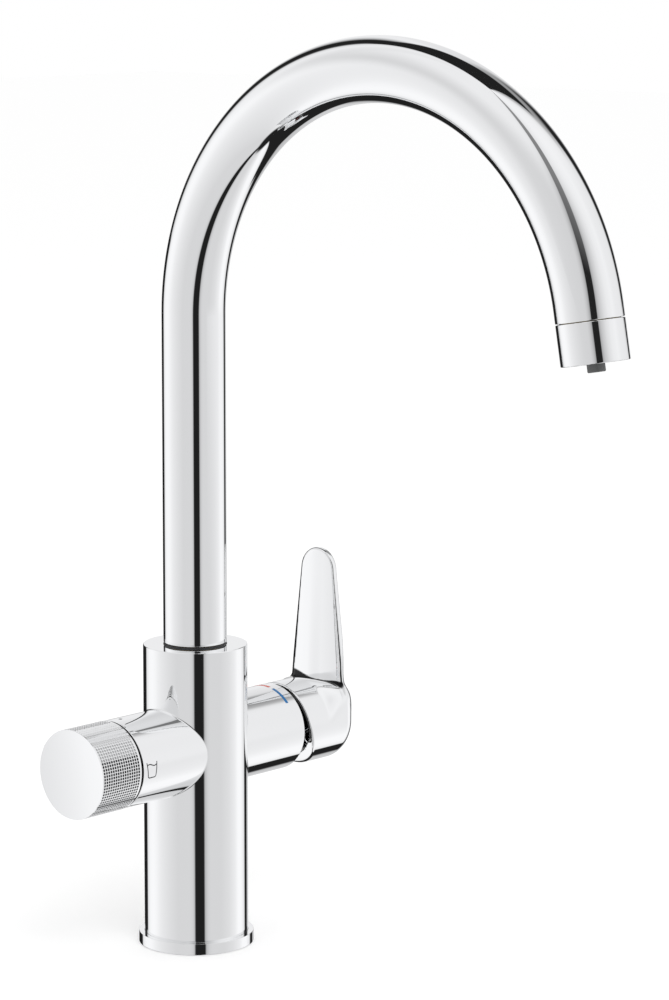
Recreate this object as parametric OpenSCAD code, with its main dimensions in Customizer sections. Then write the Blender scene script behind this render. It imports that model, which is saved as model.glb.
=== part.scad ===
// Filter kitchen mixer tap: swivel spout with two waterways, mixer lever, filter knob.
// Millimetres. Z is up and Z = 0 is the worktop. The column stands on the Z axis, the
// spout reaches towards -Y, the mixer lever sits on +X and the filter knob on -X.

/* [Column] */
// Diameter of the column
column_d = 46; // [42:0.5:54]
// Height of the column's top face above the worktop
column_top = 134.3; // [130:0.5:150]
// Diameter of the hollow for the hoses
cavity_d = 38; // [36:0.5:39]
// Height of the hollow's ceiling, where the hoses screw in
cavity_top = 56; // [50:0.5:60]
// Chamfer on visible outer edges
edge = 0.4; // [0.2:0.1:0.8]

/* [Base ring] */
// How far the base ring stands out from the column
ring_out = 2.5; // [1.5:0.25:5]
// Height of the base ring
ring_h = 5; // [4:0.25:8]
// Thickness of the floor that the column stands on
ring_floor = 2; // [1.5:0.25:2.5]
// Diameter of the opening for hoses and studs
ring_bore_d = 36; // [35:0.5:36]
// Width of the rubber seal under the ring
seal_w = 2.8; // [2:0.1:3]
// Thickness of the rubber seal
seal_t = 1.2; // [0.8:0.1:1.3]

/* [Hose ports and studs] */
// Tapping diameter of a hose port
port_d = 9; // [8.5:0.1:9.2]
// Threaded depth of a hose port
port_depth = 10; // [8:0.5:12]
// Distance of each hose port from the column's middle, across the tap
port_x = 9; // [8.5:0.25:9.5]
// Distance of the cold and hot ports from the middle, front to back
port_y = 7; // [6.5:0.25:7.5]
// Tapping diameter of a fixing stud's hole
stud_d = 6.8; // [6:0.2:7]
// Depth of a fixing stud's hole
stud_depth = 12; // [8:0.5:14]
// Distance between the two fixing studs
stud_gap = 26; // [25:0.25:27]

/* [Side arms] */
// Diameter of both arms
arm_d = 38.8; // [38:0.2:40]
// Height of the arms' common axis
arm_z = 88.5; // [86:0.5:92]
// End of the lever arm, from the column's axis
lever_arm = 50.4; // [49:0.2:53]
// End of the knob arm, from the column's axis
knob_arm = 51.75; // [51:0.25:55]
// Depth of the mixer's socket, from the lever arm's end
mixer_depth = 34.4; // [34:0.2:34.8]
// Depth of the filter valve's socket, from the knob arm's end
filter_depth = 35.75; // [35.25:0.25:36]

/* [Spout] */
// Outside diameter of the spout
spout_d = 28; // [27.5:0.1:29]
// Wall of the spout tube
spout_wall = 1.5; // [1.2:0.1:1.8]
// Height of the middle of the arch
arch_z = 280.3; // [230:1:340]
// Radius of the arch's centreline
arch_r = 110; // [90:1:130]
// Sweep of the arch
arch_sweep = 170; // [150:1:180]
// Straight run between the arch and the outlet's seam
tail = 5; // [3:0.5:15]
// Length of the outlet sleeve
sleeve_len = 17.2; // [16:0.2:24]
// Width of the seam above the sleeve
seam = 0.3; // [0.2:0.1:0.6]
// Gap between the spout and the column
spout_lift = 0.9; // [0.7:0.1:1.5]
// Outside diameter of the inner tube for filtered water
inner_tube_d = 8; // [7:0.2:8]
// Wall of the inner tube
inner_tube_wall = 1.4; // [1:0.1:1.5]
// Swivel to each side
swivel = 75; // [40:1:80]

/* [Outlet] */
// Diameter of the nozzle for filtered water
nozzle_d = 7.4; // [6.5:0.1:8]
// How far the nozzle stands out of the sleeve
nozzle_out = 3.5; // [2:0.25:6]
// Bore of the nozzle
nozzle_bore = 4.2; // [3:0.1:4.4]
// Holes in the outer ring of the jet plate
jet_count = 20; // [12:1:26]
// Diameter of a jet hole
jet_d = 1.6; // [1:0.1:1.8]

/* [Mixer cartridge] */
// Outside diameter of the cartridge
cart_d = 32; // [31.5:0.1:32.6]
// Wall of the cartridge housing
cart_wall = 1.8; // [1.4:0.1:2]
// Distance of the lever's pivot from the socket floor
pivot_up = 27; // [26.5:0.1:27.5]
// Distance of the spindle's ball from the pivot
ball_arm = 13; // [12.8:0.05:13.2]
// Diameter of the spindle's ball
ball_d = 5.2; // [4.8:0.1:5.4]
// Width of the square spindle
spindle_w = 7; // [6:0.1:7.2]
// Diameter of the pivot pin
pin_d = 3; // [2.5:0.1:3.2]
// Lift of the lever
lift = 25; // [15:1:25]
// Turn of the lever to each side
mix = 45; // [30:1:50]
// Thickness of each ceramic disc
disc_t = 3.5; // [3:0.1:3.8]
// Radius of the moving disc
moving_r = 10.4; // [10.2:0.1:10.5]
// Radius of the domed cap over the cartridge
dome_r = 18.4; // [17.8:0.1:18.6]

/* [Mixer lever] */
// How far the lever's cap stands out from the arm
cap_out = 35.6; // [34.5:0.1:38]
// Rounding of the cap's outer edge
cap_round = 7; // [4:0.5:9]
// Wall of the cap
cap_wall = 1.9; // [1.6:0.1:2.2]
// Gap between cap and arm along the top
cap_gap = 2.2; // [1.6:0.1:3]
// Radius of the curved edge that opens the gap downwards
rim_curve = 64; // [58:1:80]
// Distance of the paddle's inner face from the cap's outer face
paddle_in = 6.7; // [6:0.1:7.2]
// Height of the paddle's tip
paddle_top = 166.2; // [150:0.5:185]
// Half width of the paddle where the cap's top is
paddle_w = 15.7; // [13:0.1:17]
// Radius of the rounded tip
tip_r = 9.9; // [7:0.1:12]
// Thickness of the paddle at the tip
tip_t = 3.1; // [2.5:0.1:4]
// How far the paddle leans outwards up to its tip
lean = 0.6; // [0:0.1:2]
// Radius of the hollow curve up the paddle's outer face
sweep_r = 1300; // [600:10:1600]
// Radius of the crown across the paddle's outer face
crown_r = 57; // [40:1:80]

/* [Filter knob] */
// Outside diameter of the knob
knob_d = 39; // [38:0.2:40]
// Length of the knob
knob_len = 23.7; // [22:0.1:28]
// Gap between knob and arm
knob_gap = 1.05; // [0.7:0.05:1.5]
// Wall of the knob
knob_wall = 2; // [1.6:0.1:2.2]
// Plain rims at both ends of the knurled band
knob_rim = 1; // [0.6:0.1:2]
// Rings of the knurled band
knurl_rings = 16; // [10:1:20]
// Depth of the knurling
knurl_depth = 0.35; // [0.2:0.05:0.5]
// Turn of the knob from shut to open
knob_turn = 90; // [80:1:95]

/* [Filter valve] */
// Outside diameter of the valve's body
valve_d = 19; // [18.6:0.1:19]
// Width across the flats of the valve's hexagon
valve_flats = 22; // [20:0.5:26]
// Diameter of the valve's stem
stem_d = 9; // [8.4:0.1:9.2]
// Diameter of the valve's ceramic discs
valve_disc_d = 14.4; // [13.8:0.1:14.4]

/* [Marks] */
// Distance of the red and blue marks from the arm's end
mark_back = 5.8; // [4.5:0.1:8]
// Width of the red and blue marks
mark_w = 1.2; // [0.8:0.1:2]
// Angle from the front up to where red meets blue
mark_split = 78; // [70:1:90]
// Angle that each colour spans
mark_span = 33; // [20:1:40]
// Distance of the tumbler sign from the arm's end
sign_back = 5.25; // [4.75:0.25:7.75]
// Height of the tumbler sign
sign_h = 6.8; // [5:0.1:8]
// Width of the tumbler sign's lines
sign_line = 0.5; // [0.4:0.05:0.7]

/* [Fits] */
// Radial clearance of parts that turn on each other
run = 0.07; // [0.05:0.01:0.09]
// Radial clearance of parts that are pushed together
push = 0.05; // [0.03:0.01:0.08]
// Air between parts that move past each other
air = 0.3; // [0.25:0.05:0.4]

/* [Hidden] */
$fn = 96;
tiny = 0.02;
far = 400;

column_r = column_d / 2;
arm_r = arm_d / 2;
spout_r = spout_d / 2;
bore_r = spout_r - spout_wall;
knob_r = knob_d / 2;
ring_r = column_r + ring_out;
ring_bore_r = ring_bore_d / 2;
seal_mid = (ring_r + ring_bore_r) / 2 + 0.4;

// Seat of the spout in the column
seat_r = spout_r - 0.1;
bush_wall = 1.45;
journal_r = seat_r - bush_wall - run - push;
seat_floor = column_top - 24.3;
chamber_top = seat_floor + 2;
stem_seat_r = 5.1;
stem_floor = seat_floor - 13;
stem_end = stem_floor + 5.5;
filter_channel_z = stem_floor + 2.9;
filter_channel_d = 4.6;
spout_foot = column_top + spout_lift;
bush_top = spout_foot - air;
spigot_top = spout_foot + 12;
lower_bush_h = 6;
upper_bush_h = 6.4;
seal_groove_z = seat_floor + 9.5;
seal_groove_h = 2.6;
stop_z = seat_floor + 15.4;
stop_groove_h = 3.6;
stop_groove_r = journal_r - 1.5;
stop_tip_d = 2.8;
stop_screw_d = 5;
passage_r = 7.9;
passage_d = 4.2;
stem_bore_d = 5.2;
inner_seat = 8;

// Waterways
channel_d = 5.6;
riser_d = 5;
inlet_up = 4.6;
inlet_side = 4.6;
inlet_d = 4.4;
outlet_down = 4;
outlet_d = 5.6;

// Cartridge, heights from the column's axis along the lever arm
mixer_floor = lever_arm - mixer_depth;
cart_r = cart_d / 2;
cart_bore_r = cart_r - cart_wall;
socket_r = cart_r + air;
nut_h = 4.4;
nut_foot = lever_arm - nut_h;
nut_r = socket_r + 1.25;
base_h = 4;
fixed_z = mixer_floor + base_h;
moving_z = fixed_z + disc_t + push;
carrier_z = moving_z + disc_t;
pivot = mixer_floor + pivot_up;
ball_z = pivot - ball_arm;
carrier_top = ball_z + ball_d / 2 - 0.6;
rotor_z = carrier_top + 0.5;
lip_z = nut_foot - 1.5;
neck_top = lever_arm - 1.2;
neck_r = cart_bore_r;
lip_r = neck_r - 2;
rotor_top = neck_top + 0.6;
lug_r = neck_r - 1;
lug_angle = 20;
travel = ball_arm * sin(lift);
disc_rest = -travel / 2 + 0.35;
pocket_r = 4.8;
pocket_shift = -0.5;
dome_wall = 1.6;
spindle_half = spindle_w / 2;
dome_reach = sqrt(dome_r * dome_r - 2 * spindle_half * spindle_half);
dome_hole_r = norm([dome_reach * sin(lift) + spindle_half * cos(lift), spindle_half]) + air;

// Lever
cap_end = lever_arm + cap_out;
cap_bore_r = arm_r - cap_wall;
cap_foot = lever_arm + cap_gap;
rim_top_z = arm_z + 0.88 * arm_r;
cap_floor = cap_end - 11.5;
boss_r = spindle_w * 0.93;
boss_foot = pivot + dome_r + 2 * air;
spindle_end = cap_floor - 3;
screw_x = (boss_foot + cap_floor) / 2;
set_screw_d = 5;
plug_t = 1.3;
paddle_x = cap_end - paddle_in;
paddle_base_z = arm_z + arm_r - 0.9;
tip_z = paddle_top - tip_r;
taper = (paddle_w - tip_r) / (tip_z - paddle_base_z);

// Knob and filter valve, heights from the column's axis along the knob arm
filter_floor = knob_arm - filter_depth;
knob_foot = knob_arm + knob_gap;
knob_end = knob_foot + knob_len;
knob_bore_r = knob_r - knob_wall;
valve_r = valve_d / 2;
valve_seal_t = 1.3;
chamber_r = 11;
chamber_len = 11;
thread_len = 10;
valve_foot = filter_floor + valve_seal_t;
thread_z = filter_floor + chamber_len;
hex_z = thread_z + thread_len;
hex_h = 5;
hex_room_r = 16.5;
valve_top = hex_z + 12.5;
disc_bore_r = valve_disc_d / 2 + push;
valve_disc_t = 3;
disc_bore_end = valve_foot + 2 * valve_disc_t + 3.6;
stem_r = stem_d / 2;
stem_neck_r = 7;
clip_t = 0.8;
spline_r = stem_r - 0.5;
stem_top = knob_end - 14;
hub_foot = valve_top + clip_t + 2 * air;
hub_r = 7.6;
skirt_foot = hex_z + hex_h + air;
skirt_in = stem_neck_r + 1;
skirt_out = skirt_in + 1.6;
lug_width = 40;
lug_at = 180;
stop_slack = 2;
hub_top = stem_top + 1.2;
insert_top = knob_end - knob_wall - 1.5;
knob_screw_d = 3;
screw_head_r = 3.4;

// Outlet, measured along the spout past the end of the arch
sleeve_foot = tail + seam;
sleeve_end = tail + sleeve_len;
sleeve_wall = 1.55;
sleeve_bore_r = spout_r - sleeve_wall;
adapter_foot = 0.2;
adapter_top = tail + 6.3;
aerator_seal_t = 1.2;
aerator_foot = adapter_top + aerator_seal_t;
aerator_end = sleeve_end - 0.9;
aerator_wall = 1.5;
grid_t = 2.4;
nozzle_foot = aerator_foot + 0.5;
nozzle_end = sleeve_end + nozzle_out;
inner_r = inner_tube_d / 2;

nozzle_plug = 6;

mark_x = lever_arm - mark_back;
sign_x = knob_arm - sign_back;
mark_depth = 0.25;
mark_play = 0.03;
mark_part = 1;

// Frames. On both arms local X is up and local Z runs outwards; local Y is the front
// on the lever's side and the back on the knob's side.
module on_lever_arm() {
    translate([0, 0, arm_z]) rotate([0, 90, 0]) rotate([0, 0, 180]) children();
}

module on_knob_arm() {
    translate([0, 0, arm_z]) rotate([0, -90, 0]) children();
}

// The end of the arch, with local Z along the flow
module at_outlet() {
    translate([0, -arch_r, arch_z]) rotate([arch_sweep, 0, 0]) translate([0, arch_r, 0]) children();
}

module at(z) {
    translate([0, 0, z]) children();
}

// A ring from z = 0 up
module ring(outer, inner, h) {
    difference() {
        cylinder(r = outer, h = h);
        at(-1) cylinder(r = inner, h = h + 2);
    }
}

// A solid of revolution whose outer top edge is chamfered
module chamfered(r, h, c) {
    rotate_extrude() polygon([[0, 0], [r, 0], [r, h - c], [r - c, h], [0, h]]);
}

// A part of a ring, centred on local X
module sector(outer, inner, h, angle) {
    rotate([0, 0, -angle / 2]) rotate_extrude(angle = angle)
        translate([inner, 0]) square([outer - inner, h]);
}

// A rubber ring of round section, lying flat at z = 0
module o_ring(outer, section) {
    rotate_extrude() translate([outer - section / 2, 0]) circle(d = section, $fn = 32);
}

// The spout's line as a solid rod: upright, arch and tail
module spout_line(r, foot, end) {
    at(foot) cylinder(r = r, h = arch_z - foot);
    translate([0, -arch_r, arch_z]) rotate([0, 90, 0]) rotate([0, 0, 90])
        rotate_extrude(angle = arch_sweep) translate([arch_r, 0]) circle(r = r);
    at_outlet() at(-0.5) cylinder(r = r - tiny, h = end + 0.5);
}

// Column

module column_body() {
    color("#d9dcdf") difference() {
        union() {
            at(ring_floor) chamfered(column_r, column_top - ring_floor, edge);
            arms();
        }
        hose_hollow();
        spout_seat();
        mixer_socket();
        filter_socket();
        waterways();
        mark_grooves(mark_play);
    }
}

module arms() {
    at(arm_z) rotate([0, 90, 0]) rotate_extrude() polygon([
        [0, -knob_arm], [arm_r - edge, -knob_arm], [arm_r, edge - knob_arm],
        [arm_r, lever_arm - edge], [arm_r - edge, lever_arm], [0, lever_arm]
    ]);
}

module hose_hollow() {
    cylinder(d = cavity_d, h = cavity_top);
    for (y = [-port_y, port_y]) translate([port_x, y, cavity_top - 1]) cylinder(d = port_d, h = port_depth + 1);
    translate([-port_x, 0, cavity_top - 1]) cylinder(d = port_d, h = port_depth + 1);
    for (y = [-1, 1]) translate([0, y * stud_gap / 2, cavity_top - 1]) cylinder(d = stud_d, h = stud_depth + 1);
}

module spout_seat() {
    at(seat_floor) cylinder(r = seat_r, h = far);
    at(stem_floor) cylinder(r = stem_seat_r, h = far);
    at(stop_z) rotate([-90, 0, 0]) cylinder(d = stop_screw_d, h = far);
}

module mixer_socket() {
    on_lever_arm() {
        at(mixer_floor) cylinder(r = socket_r, h = far);
        at(nut_foot) cylinder(r = nut_r + push, h = far);
    }
}

module filter_socket() {
    on_knob_arm() {
        at(filter_floor) cylinder(r = chamber_r, h = chamber_len);
        at(thread_z - 1) cylinder(r = valve_r + push, h = thread_len + 2);
        at(hex_z) cylinder(r = hex_room_r, h = far);
    }
}

module waterways() {
    // Cold and hot rise from their ports and turn into the cartridge's floor
    for (side = [-1, 1]) {
        translate([port_x, side * port_y, cavity_top]) cylinder(d = channel_d, h = arm_z + inlet_up + 1.4 - cavity_top);
        translate([port_x - 1, side * inlet_side, arm_z + inlet_up]) rotate([0, 90, 0])
            cylinder(d = inlet_d, h = mixer_floor - port_x + 2);
    }
    // Mixed water leaves the cartridge's floor and rises beside the stem's seat
    translate([port_x - 1.5, 0, arm_z - outlet_down]) rotate([0, 90, 0])
        cylinder(d = outlet_d, h = mixer_floor - port_x + 2.5);
    translate([port_x, 0, arm_z - outlet_down - 1]) cylinder(d = riser_d, h = seat_floor - arm_z + outlet_down + 2);
    // Filtered water rises to the valve's axis and leaves the valve's chamber for the stem
    translate([-port_x, 0, cavity_top]) cylinder(d = riser_d, h = arm_z + 1 - cavity_top);
    translate([1.5 - port_x, 0, arm_z]) rotate([0, -90, 0]) cylinder(d = channel_d, h = filter_floor - port_x + 2.5);
    translate([0, 0, filter_channel_z]) rotate([0, -90, 0]) cylinder(d = filter_channel_d, h = filter_floor + 4);
}

// Base ring and seal

module base_ring() {
    inner = column_r + push;
    color("#d9dcdf") difference() {
        rotate_extrude() polygon([
            [ring_bore_r, 0], [ring_r - 0.3, 0], [ring_r, 0.3], [ring_r, ring_h - edge], [ring_r - edge, ring_h],
            [inner + 0.5, ring_h], [inner, ring_h - 0.5], [inner, ring_floor], [ring_bore_r, ring_floor]
        ]);
        at(-1) ring(seal_mid + seal_w / 2 + push, seal_mid - seal_w / 2 - push, seal_t + 1);
    }
}

module base_seal() {
    color("#1c1c1e") ring(seal_mid + seal_w / 2, seal_mid - seal_w / 2, seal_t);
}

// Spout seat

module swivel_bush_upper() {
    color("#3a3c3e") at(bush_top - upper_bush_h)
        ring(seat_r - push, journal_r + run, upper_bush_h);
}

module swivel_bush_lower() {
    color("#3a3c3e") at(chamber_top) ring(seat_r - push, journal_r + run, lower_bush_h);
}

module swivel_stop_screw() {
    head = column_r - 1.2;
    tip = stop_groove_r + air;
    color("#8a8d90") difference() {
        at(stop_z) rotate([-90, 0, 0]) {
            at(tip) cylinder(d = stop_tip_d, h = head - tip);
            at(seat_r + 0.4) cylinder(d = stop_screw_d - 2 * push, h = head - seat_r - 0.4);
        }
        at(stop_z) rotate([-90, 0, 0]) at(head - 2.5) cylinder(d = 2.9, h = 4, $fn = 6);
    }
}

// Mixer cartridge

module cartridge_ports(z, h, grow) {
    for (side = [-1, 1]) translate([inlet_up, side * inlet_side, z]) cylinder(r = inlet_d / 2 + grow, h = h);
    translate([-outlet_down, 0, z]) cylinder(r = outlet_d / 2 + grow, h = h);
}

module cartridge_base() {
    color("#e6e6e2") on_lever_arm() difference() {
        at(mixer_floor) cylinder(r = cart_bore_r - push, h = base_h);
        cartridge_ports(mixer_floor - 1, base_h + 2, 0);
        cartridge_ports(mixer_floor - 1, 2.3, 1.1);
    }
}

module cartridge_seals() {
    color("#1c1c1e") on_lever_arm() difference() {
        cartridge_ports(mixer_floor, 1.3, 1.1 - push);
        cartridge_ports(mixer_floor - 1, 4, 0);
    }
}

module cartridge_housing() {
    color("#e6e6e2") on_lever_arm() difference() {
        union() {
            at(mixer_floor) cylinder(r = cart_r, h = nut_foot - mixer_floor);
            at(nut_foot - 1) cylinder(r = neck_r, h = neck_top - nut_foot + 1);
        }
        at(mixer_floor - 1) cylinder(r = cart_bore_r, h = lip_z - mixer_floor + 1);
        at(lip_z - 1) cylinder(r = lip_r, h = 20);
        at(nut_foot + 0.6) sector(lug_r + air, lip_r - 1, 20, 2 * mix + lug_angle + 3);
    }
}

module cartridge_fixed_disc() {
    color("#f2efe8") on_lever_arm() difference() {
        at(fixed_z) cylinder(r = cart_bore_r - push, h = disc_t);
        cartridge_ports(fixed_z - 1, disc_t + 2, 0);
    }
}

module cartridge_ring_nut() {
    color("#c9a24a") on_lever_arm() at(nut_foot) ring(nut_r, neck_r + 2 * push, nut_h);
}

module cartridge_dome() {
    color("#2a2b2d") on_lever_arm() difference() {
        at(pivot) sphere(r = dome_r);
        at(pivot) sphere(r = dome_r - dome_wall);
        at(lever_arm - far) cylinder(r = far, h = far);
        at(pivot) cylinder(r = dome_hole_r, h = far);
    }
}

module cartridge_rotor() {
    color("#2f6f8f") on_lever_arm() difference() {
        union() {
            at(rotor_z) cylinder(r = cart_bore_r - run, h = lip_z - rotor_z - push);
            at(rotor_z) cylinder(r = lip_r - run, h = rotor_top - rotor_z);
            at(nut_foot + 0.6 + push) sector(lug_r, lip_r - 1, rotor_top - nut_foot - 0.6 - push, lug_angle);
        }
        at(pivot) spindle_window();
        at(pivot) rotate([90, 0, 0]) cylinder(r = pin_d / 2 + tiny, h = far, center = true);
    }
}

// The room that the spindle sweeps in the rotor, about the pivot
module spindle_window() {
    up = (pivot - rotor_z) * tan(lift) + spindle_half / cos(lift) + air;
    down = (rotor_top - pivot) * tan(lift) + spindle_half / cos(lift) + air;
    translate([-down, -spindle_half - air, -far / 2]) cube([up + down, spindle_w + 2 * air, far]);
}

module lever_pivot_pin() {
    color("#b9bcc0") on_lever_arm() at(pivot) rotate([90, 0, 0])
        cylinder(d = pin_d, h = 2 * (lip_r - run) - 1, center = true);
}

module moving_disc() {
    color("#f2efe8") on_lever_arm() translate([disc_rest, 0, moving_z]) difference() {
        cylinder(r = moving_r, h = disc_t);
        translate([pocket_shift, 0, -1]) cylinder(r = pocket_r, h = disc_t - 0.3);
    }
}

module disc_carrier() {
    slot = ball_d + 4 * run;
    color("#e6e6e2") on_lever_arm() difference() {
        translate([disc_rest, 0, carrier_z]) cylinder(r = moving_r, h = carrier_top - carrier_z);
        translate([-slot / 2, -slot / 2, carrier_z - 1]) cube([slot, slot, far]);
    }
}

// Lever

module lever_handle() {
    color("#d9dcdf") difference() {
        union() {
            intersection() {
                on_lever_arm() cap_solid();
                rim_cut();
            }
            paddle();
        }
        on_lever_arm() {
            difference() {
                at(cap_foot - 5) cylinder(r = cap_bore_r, h = cap_floor - cap_foot + 5);
                at(boss_foot) cylinder(r = boss_r, h = far);
            }
            translate([-spindle_half - push, -spindle_half - push, boss_foot - 1])
                cube([spindle_w + 2 * push, spindle_w + 2 * push, spindle_end + 0.5 - boss_foot + 1]);
            at(screw_x) rotate([0, -90, 0]) cylinder(d = set_screw_d + 2 * push, h = far);
        }
    }
}

// The cap before its edge is curved away
module cap_solid() {
    flat = arm_r - cap_round;
    at(cap_foot - 2) rotate_extrude() union() {
        square([arm_r, cap_end - cap_round - cap_foot + 2]);
        square([flat, cap_end - cap_foot + 2]);
        intersection() {
            translate([flat, cap_end - cap_round - cap_foot + 2]) circle(r = cap_round);
            square([arm_r, cap_end - cap_foot + 2]);
        }
    }
}

// A large drum across the tap, whose skin is the cap's curved edge
module rim_cut() {
    translate([cap_foot + rim_curve, 0, rim_top_z]) rotate([90, 0, 0])
        cylinder(r = rim_curve, h = 3 * arm_d, center = true, $fn = 240);
    translate([cap_foot, -1.5 * arm_d, rim_top_z]) cube([3 * arm_d, 3 * arm_d, 3 * arm_d]);
}

// The paddle: its outline from the side of the arm meets its profile from the front,
// with the cap's rounding up its back edges and a saddle-shaped outer face
module paddle() {
    difference() {
        intersection() {
            translate([paddle_x - 1, 0, 0]) rotate([90, 0, 90]) linear_extrude(height = arm_r) paddle_outline();
            rotate([90, 0, 0]) linear_extrude(height = 2 * arm_d, center = true) paddle_profile();
            at(arm_z) linear_extrude(height = paddle_top - arm_z + 2) paddle_section();
        }
        translate([paddle_x + lean + tip_t + sweep_r, 0, paddle_top]) rotate([90, 0, 0])
            rotate_extrude($fn = 720) difference() {
                translate([sweep_r - crown_r / 2, -0.75 * arm_d]) square([crown_r, 1.5 * arm_d]);
                translate([sweep_r + crown_r, 0]) circle(r = crown_r);
            }
    }
}

module paddle_outline() {
    a = atan(taper);
    low_w = paddle_w + taper * (paddle_base_z - arm_z);
    translate([0, tip_z]) circle(r = tip_r);
    polygon([
        [-low_w, arm_z], [low_w, arm_z], [tip_r * cos(a), tip_z + tip_r * sin(a)],
        [-tip_r * cos(a), tip_z + tip_r * sin(a)]
    ]);
}

module paddle_profile() {
    polygon([
        [paddle_x, arm_z], [cap_end, arm_z], [cap_end, paddle_top + 1],
        [paddle_x + lean, paddle_top + 1], [paddle_x, paddle_base_z]
    ]);
}

module paddle_section() {
    flat = arm_r - cap_round;
    side = cap_end - cap_round;
    translate([paddle_x - 1, -arm_r]) square([side - paddle_x + 1, 2 * arm_r]);
    translate([paddle_x - 1, -flat]) square([cap_end - paddle_x + 1, 2 * flat]);
    for (y = [-flat, flat]) translate([side, y]) circle(r = cap_round);
}

module lever_spindle() {
    neck = rotor_z + 1.5;
    color("#b9bcc0") on_lever_arm() difference() {
        union() {
            at(ball_z) sphere(d = ball_d);
            at(ball_z) cylinder(d = ball_d * 0.7, h = neck - ball_z + 1);
            translate([-spindle_half, -spindle_half, neck]) cube([spindle_w, spindle_w, spindle_end - neck]);
        }
        at(pivot) rotate([90, 0, 0]) cylinder(r = pin_d / 2 + run, h = far, center = true);
    }
}

module lever_set_screw() {
    top = boss_r + 2.4;
    color("#55585b") on_lever_arm() at(screw_x) rotate([0, -90, 0]) difference() {
        at(spindle_half + push) cylinder(d = set_screw_d, h = top - spindle_half - push);
        at(top - 2.2) cylinder(d = 2.9, h = 3, $fn = 6);
    }
}

module lever_plug() {
    color("#c4c7ca") on_lever_arm() intersection() {
        at(screw_x) rotate([0, -90, 0]) cylinder(d = set_screw_d, h = far);
        at(screw_x - 10) ring(arm_r - 0.1, arm_r - 0.1 - plug_t, 20);
    }
}

// Filter valve and knob

module valve_body() {
    color("#c9a24a") on_knob_arm() difference() {
        union() {
            at(valve_foot) cylinder(r = valve_r, h = hex_z - valve_foot + 1);
            at(hex_z) cylinder(d = valve_flats / cos(30), h = hex_h, $fn = 6);
            at(hex_z) cylinder(r = stem_neck_r, h = valve_top - hex_z);
            at(hex_z + hex_h - 0.5) rotate([0, 0, lug_at]) sector(skirt_out, stem_neck_r - 1, 5.5, lug_width);
        }
        at(valve_foot - 1) cylinder(r = disc_bore_r, h = disc_bore_end - valve_foot + 1);
        at(valve_foot) cylinder(r = stem_r + run, h = far);
        translate([-20, -3, disc_bore_end - 3.2]) cube([40, 6, 3]);
    }
}

module valve_seal() {
    color("#1c1c1e") on_knob_arm() at(filter_floor) ring(valve_r, 4.2, valve_seal_t);
}

// Two opposite quarter openings
module bow_tie(r, z, h) {
    for (turn = [0, 180]) rotate([0, 0, turn]) at(z) sector(r, 1, h, 76);
}

module valve_fixed_disc() {
    color("#f2efe8") on_knob_arm() difference() {
        at(valve_foot) cylinder(d = valve_disc_d, h = valve_disc_t);
        bow_tie(5.4, valve_foot - 1, valve_disc_t + 2);
    }
}

module valve_moving_disc() {
    color("#f2efe8") on_knob_arm() difference() {
        at(valve_foot + valve_disc_t + push) cylinder(r = valve_disc_d / 2 - run, h = valve_disc_t);
        rotate([0, 0, 90]) bow_tie(5.4, valve_foot + valve_disc_t - 1, valve_disc_t + 3);
    }
}

module valve_stem() {
    foot = valve_foot + 2 * valve_disc_t + push;
    groove = valve_top - 5;
    color("#c9a24a") on_knob_arm() difference() {
        union() {
            intersection() {
                at(foot) cylinder(r = valve_disc_d / 2 - run, h = disc_bore_end - foot - push);
                translate([-10, -2.4, foot]) cube([20, 4.8, 10]);
            }
            at(foot) cylinder(r = stem_r, h = hub_foot - push - foot);
            at(foot) cylinder(r = spline_r, h = stem_top - foot);
        }
        at(groove) ring(stem_r + 1, stem_r - 1.1, 2.1);
        at(valve_top + push) ring(stem_r + 1, stem_r - 0.6, clip_t + 2 * push);
        at(stem_top - 8) cylinder(d = knob_screw_d, h = 10);
    }
}

module valve_o_ring() {
    color("#1c1c1e") on_knob_arm() at(valve_top - 5 + 1.05) o_ring(stem_r + run / 2, 1.9 / 2 + 0.1);
}

module stem_clip() {
    color("#55585b") on_knob_arm() at(valve_top + 2 * push) ring(stem_neck_r - 0.4, stem_r - 0.6 + tiny, clip_t);
}

module knob_insert() {
    color("#2a2b2d") on_knob_arm() difference() {
        union() {
            at(knob_foot + 1) ring(knob_bore_r - push, knob_bore_r - 1.6, insert_top - knob_foot - 1);
            at(hub_top - 2.5) cylinder(r = knob_bore_r - 1, h = 2.5);
            at(hub_foot) cylinder(r = hub_r, h = hub_top - hub_foot);
            at(hub_foot) cylinder(r = skirt_out + 0.5, h = 1.6);
            stop_skirt();
        }
        at(hub_foot - 1) cylinder(r = spline_r + push, h = stem_top + 0.2 - hub_foot + 1);
        at(hub_foot) cylinder(d = knob_screw_d + 0.4, h = far);
    }
}

// A part of a ring that runs round the valve's neck and meets its lug at both ends
module stop_skirt() {
    from = lug_at + lug_width / 2 + stop_slack + knob_turn;
    at(skirt_foot) rotate([0, 0, from]) rotate_extrude(angle = 360 - lug_width - knob_turn - 2 * stop_slack)
        translate([skirt_in, 0]) square([skirt_out - skirt_in, hub_foot - skirt_foot + 0.5]);
}

module knob_screw() {
    color("#8a8d90") on_knob_arm() difference() {
        union() {
            at(stem_top - 7) cylinder(d = knob_screw_d - 2 * tiny, h = hub_top - stem_top + 8);
            at(hub_top) cylinder(r = screw_head_r, h = 2.2);
        }
        at(hub_top + 0.9) cylinder(d = 2.3, h = 3, $fn = 6);
    }
}

module knob_shell() {
    color("#d9dcdf") on_knob_arm() difference() {
        at(knob_foot) rotate_extrude() polygon(concat(
            [[0, 0], [knob_r - 0.3, 0], [knob_r, 0.3], [knob_r, knob_rim]],
            knurl_points(),
            [[knob_r, knob_len - knob_rim], [knob_r, knob_len - edge], [knob_r - edge, knob_len], [0, knob_len]]
        ));
        at(knob_foot - 1) cylinder(r = knob_bore_r, h = knob_len - knob_wall + 1);
    }
}

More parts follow.
